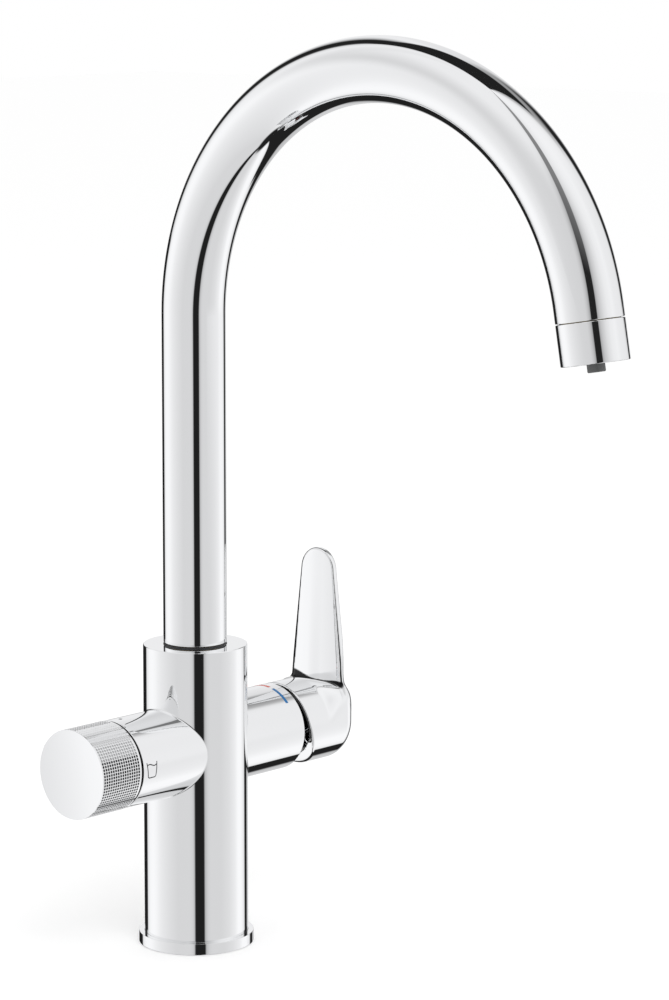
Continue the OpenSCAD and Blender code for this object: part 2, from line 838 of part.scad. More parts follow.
function knurl_pitch() = (knob_len - 2 * knob_rim) / knurl_rings;
function knurl_points() = [
    for (i = [0 : knurl_rings - 1]) each [
        [knob_r - knurl_depth, knob_rim + (i + 0.2) * knurl_pitch()],
        [knob_r, knob_rim + (i + 0.5) * knurl_pitch()],
        [knob_r - knurl_depth, knob_rim + (i + 0.8) * knurl_pitch()]
    ]
];

// Marks, set flush into the arms

module colour_arc(from, play) {
    more = play * 180 / (PI * arm_r);
    on_lever_arm() at(mark_x - mark_w / 2 - play) rotate([0, 0, 90 - from - mark_span - more])
        rotate_extrude(angle = mark_span + 2 * more) translate([arm_r - mark_depth - play, 0])
            square([mark_depth + play + (play > 0 ? 1 : 0), mark_w + 2 * play]);
}

module hot_mark() {
    color("#e0503c") colour_arc(mark_split + mark_part, 0);
}

module cold_mark() {
    color("#1f78b4") colour_arc(mark_split - mark_part - mark_span, 0);
}

module tumbler_outline(grow) {
    top = sign_h / 2;
    w_top = sign_h * 0.44;
    w_low = sign_h * 0.33;
    polygon([
        [-w_top - grow, top], [-w_low - grow, 1 - top], [1 - w_low, -top - grow],
        [w_low - 1, -top - grow], [w_low + grow, 1 - top], [w_top + grow, top]
    ]);
}

module tumbler_flat() {
    line = sign_line;
    top = sign_h / 2;
    water = top - 1.1;
    difference() {
        tumbler_outline(0);
        difference() {
            tumbler_outline(-line);
            translate([-10, water - line / 2]) square([10, line]);
            translate([0, water]) square([10, line]);
        }
    }
}

module sign_prism(depth) {
    intersection() {
        translate([-sign_x, 0, arm_z]) rotate([90, 0, 0]) linear_extrude(height = far) tumbler_flat();
        at(arm_z) rotate([0, -90, 0]) at(sign_x - 10) ring(arm_r + (depth > mark_depth ? 1 : 0), arm_r - depth, 20);
    }
}

module tumbler_sign() {
    color("#303234") sign_prism(mark_depth);
}

module index_mark() {
    color("#303234") on_knob_arm() intersection() {
        at(sign_x) rotate([0, 90, 0]) cylinder(r = 0.8, h = far, $fn = 32);
        at(sign_x - 5) ring(arm_r, arm_r - mark_depth, 10);
    }
}

module mark_grooves(play) {
    colour_arc(mark_split + mark_part, play);
    colour_arc(mark_split - mark_part - mark_span, play);
    sign_prism(mark_depth + play);
    on_knob_arm() difference() {
        at(sign_x) rotate([0, 90, 0]) cylinder(r = 0.8 + play, h = far, $fn = 32);
        at(sign_x - 5) cylinder(r = arm_r - mark_depth - play, h = 10);
    }
}

// Spout

module spout_tube() {
    color("#d9dcdf") difference() {
        spout_line(spout_r, spout_foot, tail);
        spout_line(bore_r, spout_foot - 1, tail + 1);
    }
}

module spout_spigot() {
    groove_sweep = 2 * swivel + 2 * asin((stop_tip_d / 2 + air) / journal_r);
    color("#c9a24a") difference() {
        union() {
            at(stem_end) cylinder(r = stem_seat_r - 2 * run, h = chamber_top - stem_end);
            at(chamber_top) cylinder(r = journal_r, h = spout_foot - chamber_top);
            at(spout_foot) cylinder(r = bore_r - push, h = spigot_top - spout_foot);
        }
        at(stem_end - 1) cylinder(d = stem_bore_d, h = far);
        at(spigot_top - inner_seat) cylinder(r = inner_r + push, h = far);
        for (turn = [0 : 90 : 270]) rotate([0, 0, turn + 45]) translate([passage_r, 0, chamber_top - 1])
            cylinder(d = passage_d, h = far);
        at(seal_groove_z) ring(journal_r + 1, seat_r - push - 2.4, seal_groove_h);
        at(stem_end + 2.5) ring(stem_seat_r + 1, stem_seat_r - 1.7, 1.8);
        rotate([0, 0, 90]) at(stop_z - stop_groove_h / 2)
            sector(journal_r + 1, stop_groove_r, stop_groove_h, groove_sweep);
    }
}

module spigot_o_ring() {
    color("#1c1c1e") at(seal_groove_z + seal_groove_h / 2) o_ring(seat_r - run / 2, 2.3);
}

module stem_o_ring() {
    color("#1c1c1e") at(stem_end + 3.4) o_ring(stem_seat_r - run / 2, 1.6);
}

module filtered_tube() {
    foot = spigot_top - inner_seat + 0.1;
    color("#e8eaec") difference() {
        spout_line(inner_r, foot, nozzle_foot);
        spout_line(inner_r - inner_tube_wall, foot - 1, nozzle_foot + 1);
    }
}

// Outlet

module outlet_adapter() {
    color("#c9a24a") at_outlet() difference() {
        union() {
            at(adapter_foot) cylinder(r = bore_r - push, h = tail - adapter_foot);
            at(tail) cylinder(r = sleeve_bore_r - push, h = adapter_top - tail);
        }
        at(adapter_foot - 1) cylinder(r = bore_r - 2, h = far);
    }
}

module outlet_sleeve() {
    lip = 1.2;
    color("#d9dcdf") at_outlet() difference() {
        at(sleeve_foot) chamfered(spout_r, sleeve_end - sleeve_foot, 0.5);
        at(sleeve_foot - 1) cylinder(r = sleeve_bore_r, h = sleeve_end - lip - sleeve_foot + 1);
        at(sleeve_foot) cylinder(r = sleeve_bore_r - lip, h = far);
    }
}

module aerator_seal() {
    color("#1c1c1e") at_outlet() at(adapter_top) ring(sleeve_bore_r - push, sleeve_bore_r - 2.2, aerator_seal_t);
}

module aerator_housing() {
    outer = sleeve_bore_r - push;
    shoulder = sleeve_end - 1.2;
    color("#4a4c4e") at_outlet() difference() {
        union() {
            at(aerator_foot) cylinder(r = outer, h = shoulder - aerator_foot);
            at(aerator_foot) cylinder(r = outer - 1.3, h = aerator_end - aerator_foot);
        }
        at(aerator_foot - 1) cylinder(r = outer - aerator_wall - 0.5, h = far);
    }
}

module jet_plate() {
    outer = sleeve_bore_r - aerator_wall - 0.5 - 2 * push;
    mid = (outer + nozzle_d / 2) / 2;
    color("#6b6e70") at_outlet() at(aerator_end - 0.8 - grid_t) difference() {
        ring(outer, nozzle_d / 2 + push, grid_t);
        for (i = [0 : jet_count - 1]) rotate([0, 0, i * 360 / jet_count])
            translate([outer - 1.5, 0, -1]) cylinder(d = jet_d, h = grid_t + 2);
        for (i = [0 : jet_count / 2 - 1]) rotate([0, 0, i * 720 / jet_count])
            translate([mid - 0.6, 0, -1]) cylinder(d = jet_d, h = grid_t + 2);
    }
}

module filtered_nozzle() {
    color("#55585a") at_outlet() difference() {
        union() {
            at(nozzle_foot) chamfered(nozzle_d / 2, nozzle_end - nozzle_foot, 0.3);
            at(nozzle_foot - nozzle_plug) cylinder(r = inner_r - inner_tube_wall - push, h = nozzle_plug + 1);
        }
        at(nozzle_foot - nozzle_plug - 1) cylinder(d = 0.67 * nozzle_bore, h = far);
        at(nozzle_foot + 2) cylinder(d = nozzle_bore, h = far);
    }
}

column_body();
base_ring();
base_seal();
swivel_bush_upper();
swivel_bush_lower();
swivel_stop_screw();
cartridge_base();
cartridge_seals();
cartridge_housing();
cartridge_fixed_disc();
cartridge_ring_nut();
cartridge_dome();
valve_body();
valve_seal();
valve_fixed_disc();
hot_mark();
cold_mark();
tumbler_sign();
index_mark();
spout_tube();
spout_spigot();
spigot_o_ring();
stem_o_ring();
filtered_tube();
outlet_adapter();
outlet_sleeve();
aerator_seal();
aerator_housing();
jet_plate();
filtered_nozzle();
cartridge_rotor();
lever_pivot_pin();
moving_disc();
disc_carrier();
lever_handle();
lever_spindle();
lever_set_screw();
lever_plug();
knob_shell();
knob_insert();
knob_screw();
valve_stem();
stem_clip();
valve_moving_disc();
valve_o_ring();
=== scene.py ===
from math import asin, atan, cos, hypot, pi, radians, sin

import bmesh
import bpy
import numpy as np
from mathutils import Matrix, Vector


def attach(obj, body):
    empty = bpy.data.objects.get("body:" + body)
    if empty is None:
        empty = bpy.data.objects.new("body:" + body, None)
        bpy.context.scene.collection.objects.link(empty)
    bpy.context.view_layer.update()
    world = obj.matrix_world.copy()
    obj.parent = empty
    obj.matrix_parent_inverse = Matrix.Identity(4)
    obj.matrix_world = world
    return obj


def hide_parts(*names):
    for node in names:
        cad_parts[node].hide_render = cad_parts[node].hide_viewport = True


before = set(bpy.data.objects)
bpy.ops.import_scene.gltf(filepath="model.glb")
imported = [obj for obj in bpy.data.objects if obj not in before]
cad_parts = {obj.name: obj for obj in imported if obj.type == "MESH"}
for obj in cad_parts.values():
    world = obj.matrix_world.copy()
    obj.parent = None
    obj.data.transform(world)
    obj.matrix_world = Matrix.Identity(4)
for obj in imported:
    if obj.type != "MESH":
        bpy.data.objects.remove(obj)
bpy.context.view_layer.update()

# The camera. A long lens at the front left of the tap, a little above the lever,
# as the photograph was taken.
YAW, PITCH = 0.7350, -0.1224


def added(name, data):
    """Puts data in the scene as an object."""
    item = bpy.data.objects.new(name, data)
    bpy.context.scene.collection.objects.link(item)
    return item


camera_data = bpy.data.cameras.new("camera")
camera_data.sensor_fit = "VERTICAL"
camera_data.sensor_height = 36
camera_data.lens = 130.435
camera_data.shift_y = -0.15
camera_data.clip_end = 50
camera = added("camera", camera_data)
camera.location = (-1.1242, -1.0991, 0.4578)
looking = Vector((cos(YAW) * cos(PITCH), sin(YAW) * cos(PITCH), sin(PITCH)))
camera.rotation_euler = looking.to_track_quat("-Z", "Y").to_euler()
bpy.context.scene.camera = camera


# The studio. A white tent round the tap with black flags beside it, which only polished
# metal shows. Dull surfaces get plain white light from all sides.
class Wire:
    """A shader socket that can be used in sums."""

    def __init__(self, net, socket):
        self.net = net
        self.socket = socket

    def math(self, operation, *others):
        return self.net.add("ShaderNodeMath", {"operation": operation}, [self, *others])

    def __add__(self, other):
        return self.math("ADD", other)

    def __sub__(self, other):
        return self.math("SUBTRACT", other)

    def __rsub__(self, other):
        return self.net.add("ShaderNodeMath", {"operation": "SUBTRACT"}, [other, self])

    def __mul__(self, other):
        return self.math("MULTIPLY", other)

    def __truediv__(self, other):
        return self.math("DIVIDE", other)

    __radd__ = __add__
    __rmul__ = __mul__

    def between(self, low, high):
        """0 below low and 1 above high, with a soft step."""
        values = {"Value": self, "From Min": low, "From Max": high}
        return self.net.add("ShaderNodeMapRange", {"interpolation_type": "SMOOTHSTEP"}, values)

    def mixed(self, first, second):
        """The first colour where this is 0 and the second where it is 1."""
        node = self.net.node("ShaderNodeMix", {"data_type": "RGBA"})
        self.net.feed(node.inputs[0], self)
        self.net.feed(node.inputs[6], first)
        self.net.feed(node.inputs[7], second)
        return Wire(self.net, node.outputs[2])


class Net:
    """The node tree of a material or of the world."""

    def __init__(self, tree):
        self.tree = tree
        tree.nodes.clear()

    def node(self, kind, settings):
        node = self.tree.nodes.new(kind)
        for name, value in settings.items():
            if name == "stops":
                ramp = node.color_ramp
                while len(ramp.elements) < len(value):
                    ramp.elements.new(0.5)
                for element, (place, colour) in zip(ramp.elements, value):
                    element.position = place
                    element.color = (*colour, 1)
            else:
                setattr(node, name, value)
        return node

    def feed(self, socket, value):
        if isinstance(value, Wire):
            self.tree.links.new(value.socket, socket)
        elif isinstance(value, tuple) and len(value) == 3 and socket.type == "RGBA":
            socket.default_value = (*value, 1)
        else:
            socket.default_value = value

    def add(self, kind, settings=None, values=(), out=0):
        """Adds a node and gives one of its outputs."""
        node = self.node(kind, settings or {})
        pairs = values.items() if isinstance(values, dict) else enumerate(values)
        for key, value in pairs:
            self.feed(node.inputs[key], value)
        return Wire(self, node.outputs[out])

    def split(self, vector):
        """The three parts of a vector."""
        node = self.node("ShaderNodeSeparateXYZ", {})
        self.feed(node.inputs[0], vector)
        return [Wire(self, output) for output in node.outputs]

    def end(self, kind, surface):
        """Ends the net in its output node."""
        self.feed(self.node(kind, {}).inputs[0], surface)


def grey(level):
    """The linear light of a grey that shows as this level out of 255."""
    value = level / 255
    value = value / 12.92 if value <= 0.04045 else ((value + 0.055) / 1.055) ** 2.4
    return (value, value, value * 1.01)


def around(*stops):
    """Ramp stops from (degrees round from the camera, grey level). Seen in the photograph,
    what stands at 90 degrees is on its left."""
    return {"stops": [((degrees + 180) / 360, grey(level)) for degrees, level in stops]}


# The camera's side lies so many degrees clockwise from the X axis. The flags are not quite
# black, as they are lit a little by the tent.
CAMERA_SIDE = 138.3
FLAG, HIGH_FLAG, BACK = 32, 35, grey(33)

bpy.context.scene.view_settings.view_transform = "Standard"
world = bpy.data.worlds.new("studio")
world.use_nodes = True
bpy.context.scene.world = world
net = Net(world.node_tree)
turning = {"Vector": net.add("ShaderNodeTexCoord"), "Angle": radians(CAMERA_SIDE)}
ahead, left, up = net.split(
    net.add("ShaderNodeVectorRotate", {"rotation_type": "Z_AXIS"}, turning))
share = (left * -1).math("ARCTAN2", ahead) / (2 * pi) + 0.5
low_ramp = net.add("ShaderNodeValToRGB", around(
    (-180, 215), (-157, 190), (-154.5, FLAG), (-140.5, FLAG), (-137, 230), (-122, 255),
    (-110, 255), (-99, 241), (-81, 227), (-60, 218), (-35, 218), (-28.6, 212), (-22, 185),
    (-20.6, FLAG), (-0.4, FLAG), (1, 190), (5, 212), (11, 218), (39, 218), (61, 228),
    (78, 237), (87, 243), (97, 251), (107.5, 255), (120, 253), (132, 235), (135, 200),
    (136.5, FLAG), (170, FLAG), (175, 190), (180, 215)), {0: share})
high_ramp = net.add("ShaderNodeValToRGB", around(
    (-180, 236), (-166, 225), (-158, 120), (-154, HIGH_FLAG), (-138, HIGH_FLAG), (-131, 232),
    (-115, 238), (-95, 240), (-80, 246), (-60, 240), (-45, 226), (-30, 200), (-22.5, 172),
    (-20.5, HIGH_FLAG), (-1.5, HIGH_FLAG), (0.5, 168), (8, 200), (15, 214), (45, 218),
    (90, 216), (110, 222), (128, 242), (137, 226), (141, 90), (145, FLAG), (160, 34),
    (166, 190), (173, 240), (180, 240)), {0: share})
height = up.math("ARCSINE") * (180 / pi)
degrees = (share - 0.5) * 360
walls = height.between(-0.6, 0.6).mixed(low_ramp, high_ramp)

# The low walls reach higher on the left, and the high ones lower on the right.
on_left = degrees.between(40, 75) * (1 - degrees.between(132, 137))
walls = (on_left * (1 - height.between(8, 34))).mixed(walls, low_ramp)
on_right = degrees.between(-128, -122) * (1 - degrees.between(-55, -45))
walls = (on_right * height.between(-13, 1)).mixed(walls, high_ramp)

# A grey panel for the tops of the arms, a flag in front that fades to grey towards the
# roof, and a whiter roof beside it.
above_arms = degrees.between(-170, -155) * (1 - degrees.between(-132, -120))
walls = (above_arms * height.between(30, 42) * 0.85).mixed(walls, grey(165))
top_strip = degrees.between(-22, -20) * (1 - degrees.between(-2, 0))
strip_grey = net.add("ShaderNodeValToRGB", {"stops": [
    (0, grey(34)), (0.2, grey(36)), (0.32, grey(90)), (0.55, grey(128)), (1, grey(146))]},
    {0: height / 90})
walls = (top_strip * height.between(0, 1)).mixed(walls, strip_grey)
whiter = height.between(25, 62) * (1 - top_strip)
whiter = whiter * degrees.between(-125, -105) * (1 - degrees.between(100, 130))
walls = (whiter * 0.75).mixed(walls, grey(248))

# Flags close the back, and the floor below is black.
behind = 1 - degrees.between(-134, -131) * (1 - degrees.between(137, 141))
back_flags = behind * (1 - height.between(-42, -38) * (1 - height.between(46, 50)))
walls = back_flags.mixed(walls, BACK)
walls = height.between(-84, -80).mixed(BACK, walls)

# Polished metal sees the tent, the camera sees white, and all else gets even light.
rays = net.node("ShaderNodeLightPath", {})
seen, mirrored, refracted = (
    Wire(net, rays.outputs[name])
    for name in ("Is Camera Ray", "Is Glossy Ray", "Is Transmission Ray"))
light = mirrored.math("MAXIMUM", refracted).mixed((0.85, 0.85, 0.85), walls)
light = seen.mixed(light, (1.0, 1.0, 1.0))
net.end("ShaderNodeOutputWorld",
        net.add("ShaderNodeBackground", {}, {"Color": light, "Strength": 1.0}))

soft_data = bpy.data.lights.new("soft_light", "AREA")
soft_data.shape = "DISK"
soft_data.size = 1.2
soft_data.energy = 9
soft_light = added("soft_light", soft_data)
soft_light.location = (-0.6, -1.2, 1.5)
shining = Vector((0, 0, 0.15)) - soft_light.location
soft_light.rotation_euler = shining.to_track_quat("-Z", "Y").to_euler()
soft_light.visible_glossy = False
soft_light.visible_camera = False


# The worktop. A plain white board, matt, on which the tap's ring stands. Polished metal
# doesn't show it, as the tent's lower half is drawn in the studio.
def new_material(name):
    """An empty material with its net."""
    material = bpy.data.materials.new(name)
    material.use_nodes = True
    return material, Net(material.node_tree)


bpy.ops.object.select_all(action="DESELECT")
bpy.ops.mesh.primitive_plane_add(size=12, location=(0, 0, -0.0002))
worktop = bpy.context.object
worktop.name = "worktop"
board, net = new_material("white_board")
matt = net.add("ShaderNodeBsdfDiffuse", {}, {"Color": (0.93, 0.93, 0.93)})
glow = net.add("ShaderNodeEmission", {}, {"Color": (1.0, 1.0, 1.0), "Strength": 0.2})
net.end("ShaderNodeOutputMaterial", net.add("ShaderNodeAddShader", {}, [matt, glow]))
worktop.data.materials.append(board)
worktop.visible_glossy = False

# Base ring. Brass, turned and chromed, it lies on the worktop round the column's foot
# and holds the rubber seal.
MM = 0.001
CHROME = (0.945, 0.95, 0.955)


def pick(piece):
    """Makes a piece the active one, and the only one selected."""
    bpy.ops.object.select_all(action="DESELECT")
    piece.select_set(True)
    bpy.context.view_layer.objects.active = piece


def start(name):
    """Gives the object just added, and its mesh, a name."""
    piece = bpy.context.object
    piece.name = name
    piece.data.name = name
    return piece


def edit_all():
    """Starts to edit the active piece, with all of it selected."""
    bpy.ops.object.mode_set(mode="EDIT")
    bpy.ops.mesh.select_all(action="SELECT")


def close_edit():
    """Ends the edit with all faces turned outwards."""
    bpy.ops.mesh.select_all(action="SELECT")
    bpy.ops.mesh.normals_make_consistent(inside=False)
    bpy.ops.object.mode_set(mode="OBJECT")


def turned(name, outline, sides=256):
    """A solid turned about the Z axis. The outline is (radius, height) in millimetres: it
    starts and ends in a flat end, or comes back to its first point to form a ring."""
    bpy.ops.object.select_all(action="DESELECT")
    radius, height = outline[0]
    bpy.ops.mesh.primitive_circle_add(
        vertices=sides, radius=radius * MM, location=(0, 0, height * MM))
    bpy.ops.object.transform_apply(location=True, rotation=True, scale=True)
    piece = start(name)
    bpy.ops.object.mode_set(mode="EDIT")
    bpy.ops.mesh.select_mode(type="VERT")
    bpy.ops.mesh.select_all(action="SELECT")
    for next_radius, next_height in outline[1:]:
        rise = (next_height - height) * MM
        bpy.ops.mesh.extrude_edges_move(TRANSFORM_OT_translate={"value": (0, 0, rise)})
        ratio = next_radius / radius
        if ratio != 1:
            bpy.ops.transform.resize(value=(ratio, ratio, 1))
        radius, height = next_radius, next_height
    bpy.ops.mesh.select_all(action="SELECT")
    bpy.ops.mesh.remove_doubles(threshold=1e-6)
    bpy.ops.mesh.select_all(action="DESELECT")
    bpy.ops.mesh.select_non_manifold(extend=False)
    edges = bmesh.from_edit_mesh(piece.data).edges
    if any(len(edge.link_faces) == 1 for edge in edges):
        bpy.ops.mesh.edge_face_add()
    close_edit()
    return piece


def apply(piece, kind, **settings):
    """Adds a modifier with these settings to a piece and applies it."""
    modifier = piece.modifiers.new(kind.lower(), kind)
    for name, value in settings.items():
        setattr(modifier, name, value)
    bpy.context.view_layer.objects.active = piece
    bpy.ops.object.modifier_apply(modifier=modifier.name)


def soften(piece, width):
    """Rounds the edges that are sharper than 35 degrees."""
    apply(piece, "BEVEL", width=width * MM, segments=3, limit_method="ANGLE",
          angle_limit=radians(35))


def smooth(piece, angle=30):
    """Shades a piece smooth, but for sharper edges, and keeps its long faces even."""
    pick(piece)
    bpy.ops.object.shade_smooth_by_angle(angle=radians(angle))
    apply(piece, "WEIGHTED_NORMAL", keep_sharp=True)


def dress(piece, material, body, slot, *nodes):
    """Gives a finished piece its material, its body and the nodes that it stands for."""
    piece.data.materials.clear()
    piece.data.materials.append(material)
    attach(piece, body)
    if nodes:
        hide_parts(*nodes)


def place_in(net):
    """The place on the object, in millimetres."""
    values = {"Vector": net.add("ShaderNodeTexCoord", out=3), "Scale": 1000}
    return net.add("ShaderNodeVectorMath", {"operation": "SCALE"}, values)


def noise(net, place, scale, detail, **values):
    """A noise texture, its scale in waves to the millimetre."""
    values = {"Vector": place, "Scale": scale, "Detail": detail, **values}
    return net.add("ShaderNodeTexNoise", {}, values)


def finish_material(net, **values):
    """Ends a net in the shader, with the values or wires for its sockets."""
    values = {key.replace("_", " "): value for key, value in values.items()}
    shader = net.add("ShaderNodeBsdfPrincipled", {}, values)
    net.end("ShaderNodeOutputMaterial", shader)


def wiped(net, place, rough):
    """The roughness of polished chrome with faint wiping marks."""
    return rough + noise(net, place, 0.035, 3.0, Roughness=0.6).between(0.45, 0.8) * 0.03


def chrome(name):
    """Polished chrome."""
    material, net = new_material(name)
    place = place_in(net)
    rough = wiped(net, place, 0.018) + noise(net, place, 0.4, 2.0) * 0.008
    finish_material(net, Base_Color=CHROME, Metallic=1.0, Roughness=rough)
    return material


ring = turned("base_ring_turned", [
    (18, 0), (25.35, 0), (25.5, 0.15), (25.5, 5), (23.05, 5), (23.05, 2), (18, 2), (18, 0)])
soften(ring, 0.35)
smooth(ring)
dress(ring, chrome("ring_chrome"), "tap_body", "chrome_ring", "base_ring")

# Column with its two arms. One brass casting, turned outside, bored for the spout and
# both valves, and chromed. A small fillet fills the corner between column and arms.
COLUMN_R, ARM_R, ARM_Z = 23, 19.4, 88.5
FILLET_R, FILLET_STEPS, FILLET_SIDES = 0.9, 6, 256


def cut(piece, tool, operation="DIFFERENCE"):
    """Joins or cuts a piece with a second one, which is used up."""
    apply(piece, "BOOLEAN", operation=operation, object=tool, solver="EXACT")
    bpy.data.objects.remove(tool)


def lay(piece, turn=(0, 0, 0), move=(0, 0, 0)):
    """Turns a piece by degrees and moves it by millimetres, for good."""
    pick(piece)
    piece.rotation_euler = [radians(a) for a in turn]
    piece.location = [m * MM for m in move]
    bpy.ops.object.transform_apply(location=True, rotation=True, scale=True)


column = turned("column_turned", [
    (19, 56), (19, 2), (COLUMN_R, 2), (COLUMN_R, 134.3), (13.9, 134.3), (13.9, 110),
    (5.1, 110), (5.1, 97)], 384)
soften(column, 0.4)
arms = turned("arms_turned", [(ARM_R, -51.75), (ARM_R, 50.4)], 384)
soften(arms, 0.4)
lay(arms, (0, 90, 0), (0, 0, ARM_Z))
cut(column, arms, "UNION")
mixer_seat = [(16.3, 16), (16.3, 46), (17.6, 46), (17.6, 60)]
filter_seat = [(11, 16), (11, 27), (9.55, 27), (9.55, 37), (16.5, 37), (16.5, 60)]
for outline, side in ((mixer_seat, 90), (filter_seat, -90)):
    hole = turned("hole", outline, 192)
    lay(hole, (0, side, 0), (0, 0, ARM_Z))
    cut(column, hole)
inlets = [(x, y, 4.5, 10) for x, y in ((9, 7), (9, -7), (-9, 0))]
stud_holes = [(0, y, 3.4, 12) for y in (13, -13)]
for x, y, radius, depth in inlets + stud_holes:
    port = turned("port", [(radius, 50), (radius, 56 + depth)], 48)
    lay(port, move=(x, y, 0))
    cut(column, port)
screw_hole = turned("hole", [(2.5, 6), (2.5, 30)], 48)
lay(screw_hole, (-90, 0, 0), (0, 0, 125.4))
cut(column, screw_hole)
smooth(column, 24)
for side in (1, -1):
    corners = []
    for i in range(FILLET_SIDES):
        spin = 2 * pi * i / FILLET_SIDES
        y, z = (ARM_R + FILLET_R) * cos(spin), (ARM_R + FILLET_R) * sin(spin)
        x = ((COLUMN_R + FILLET_R) ** 2 - y ** 2) ** 0.5
        centre = Vector((x * side, y, z))
        to_arm = Vector((0, -y, -z)).normalized()
        to_column = Vector((-x * side, -y, 0)).normalized()
        corners += [centre + to_arm.slerp(to_column, j / FILLET_STEPS) * FILLET_R
                    for j in range(FILLET_STEPS + 1)]
        corners.append(centre + (to_arm + to_column) * (FILLET_R + 0.3))
    count = FILLET_STEPS + 2
    faces = []
    for i in range(FILLET_SIDES):
        here, there = i * count, (i + 1) % FILLET_SIDES * count
        faces += [[here + j, here + (j + 1) % count, there + (j + 1) % count, there + j]
                  for j in range(count)]
    corners = [(corner + Vector((0, 0, ARM_Z))) * MM for corner in corners]
    fillet_mesh = bpy.data.meshes.new("fillet")
    fillet_mesh.from_pydata(corners, [], faces)
    fillet = added("fillet", fillet_mesh)
    pick(fillet)
    edit_all()
    close_edit()
    smooth(fillet, 40)
    column.select_set(True)
    bpy.context.view_layer.objects.active = column
    bpy.ops.object.join()
dress(column, chrome("column_chrome"), "tap_body", "chrome_column", "column_body")

# Spout. A brass tube, bent in one wide arch with a short straight end, ground and
# chromed. It turns in the bushes at the column's top.
TUBE_R, TUBE_FOOT, TUBE_WALL, TAIL = 14, 135.2, 1.5, 5
ARCH_R, ARCH_Z, SWEEP = 110, 280.3, 170

bpy.ops.object.select_all(action="DESELECT")
bpy.ops.mesh.primitive_circle_add(
    vertices=128, radius=TUBE_R * MM, location=(0, 0, TUBE_FOOT * MM))
bpy.ops.object.transform_apply(location=True, rotation=True, scale=True)
spout = start("spout_bent")
edit_all()
upright = (0, 0, (ARCH_Z - TUBE_FOOT) * MM)
bpy.ops.mesh.extrude_edges_move(TRANSFORM_OT_translate={"value": upright})
bpy.ops.mesh.spin(
    steps=SWEEP, angle=-radians(SWEEP), center=(0, -ARCH_R * MM, ARCH_Z * MM), axis=(1, 0, 0))
tail = Vector((0, -sin(radians(SWEEP)), cos(radians(SWEEP)))) * TAIL * MM
bpy.ops.mesh.extrude_edges_move(TRANSFORM_OT_translate={"value": tail})
bpy.ops.mesh.select_all(action="SELECT")
bpy.ops.mesh.remove_doubles(threshold=1e-6)
close_edit()
apply(spout, "SOLIDIFY", thickness=TUBE_WALL * MM, offset=-1)
soften(spout, 0.3)
smooth(spout)
dress(spout, chrome("spout_chrome"), "spout", "chrome_spout", "spout_tube")

# Outlet sleeve. A chromed brass sleeve over the aerator, with a fine dark seam above it,
# darkened partly by shade painted on the brass below.
sleeve = turned("outlet_sleeve_turned", [
    (12.45, 5.3), (14, 5.3), (14, 22.2), (11.25, 22.2), (11.25, 21), (12.45, 21),
    (12.45, 5.3)])
soften(sleeve, 0.35)
sweep = radians(SWEEP)
arch_end = (0, -ARCH_R + ARCH_R * cos(sweep), ARCH_Z + ARCH_R * sin(sweep))
lay(sleeve, (SWEEP, 0, 0), arch_end)
smooth(sleeve)
dress(sleeve, chrome("sleeve_chrome"), "spout", "chrome_sleeve", "outlet_sleeve")

# Filter knob. Brass, turned with a slightly domed face, its middle band knurled in a square
# grid between two plain rims, then chromed.
KNOB_FOOT, KNOB_LEN, KNOB_R = 52.8, 23.7, 19.5
KNURL_RINGS, KNURL_ROWS, PLAIN_RIM = 16, 90, 1
HALF_RIDGE, PIT_SLOPE, PIT_DEPTH = 0.15, 0.34, 0.36
# The colour of the shade painted into the knurl's pits.
PIT_SHADE_COLOUR = (0.03, 0.03, 0.032)


def bumped(net, height, depth):
    """The normal of a skin with this height pattern, its depth in millimetres."""
    values = {"Height": height, "Distance": depth * MM, "Strength": 1.0}
    return net.add("ShaderNodeBump", {}, values)


ring_step = (KNOB_LEN - 2 * PLAIN_RIM) / KNURL_RINGS
knob_line = [(17.5, 21.4), (17.5, 0), (19.3, 0), (KNOB_R, 0.2)]
knob_line += [(KNOB_R, PLAIN_RIM + ring_step * i) for i in range(KNURL_RINGS + 1)]
knob_line += [(KNOB_R, 23.15), (19.48, 23.2), (19.43, 23.24)]
knob_line += [(radius, KNOB_LEN - 0.45 * (radius / 19.3) ** 2) for radius in (16, 12, 8, 4, 0.8)]
knob = turned("filter_knob_turned", knob_line, KNURL_ROWS)
bpy.ops.object.mode_set(mode="EDIT")
bpy.ops.mesh.select_mode(type="FACE")
bpy.ops.mesh.select_all(action="DESELECT")
for face in bmesh.from_edit_mesh(knob.data).faces:
    middle = face.calc_center_median()
    in_band = PLAIN_RIM * MM < middle.z < (KNOB_LEN - PLAIN_RIM) * MM
    face.select = in_band and hypot(middle.x, middle.y) > (KNOB_R - 0.1) * MM
bmesh.update_edit_mesh(knob.data)
bpy.ops.mesh.inset(thickness=HALF_RIDGE * MM, use_individual=True, use_even_offset=True)
bpy.ops.mesh.inset(
    thickness=PIT_SLOPE * MM, depth=-PIT_DEPTH * MM, use_individual=True, use_even_offset=True)
bpy.ops.object.mode_set(mode="OBJECT")
lay(knob, (0, -90, 0), (-KNOB_FOOT, 0, ARM_Z))
smooth(knob, 20)
knob_chrome, net = new_material("knob_chrome")
place = place_in(net)
lengthwise, across, upwards = net.split(place)
upwards = upwards - ARM_Z
out = (across * across + upwards * upwards).math("SQRT")
turn = upwards.math("ARCTAN2", across * -1) * (180 / pi)

# Shade is painted into the pits: they are dark, but less so where light falls in from the front
# and above. The knob's face shows no pits, but looks slightly hollow.
lit = turn.between(22, 27) * (1 - turn.between(83, 88)) * (0.62 + turn.between(43, 49) * 0.33)
pit_shade = (1 - out.between(19.38, 19.48)) * out.between(18.85, 18.95) * (1 - lit)
pit_shade = pit_shade * lengthwise.between(-75.7, -75.6)
hollow_face = bumped(net, out * out * 0.005, 1)
finish_material(net, Base_Color=pit_shade.mixed(CHROME, PIT_SHADE_COLOUR), Metallic=1.0,
                Roughness=wiped(net, place, 0.02) + pit_shade * 0.2, Normal=hollow_face)
dress(knob, knob_chrome, "filter_knob", "chrome_knob", "knob_shell")

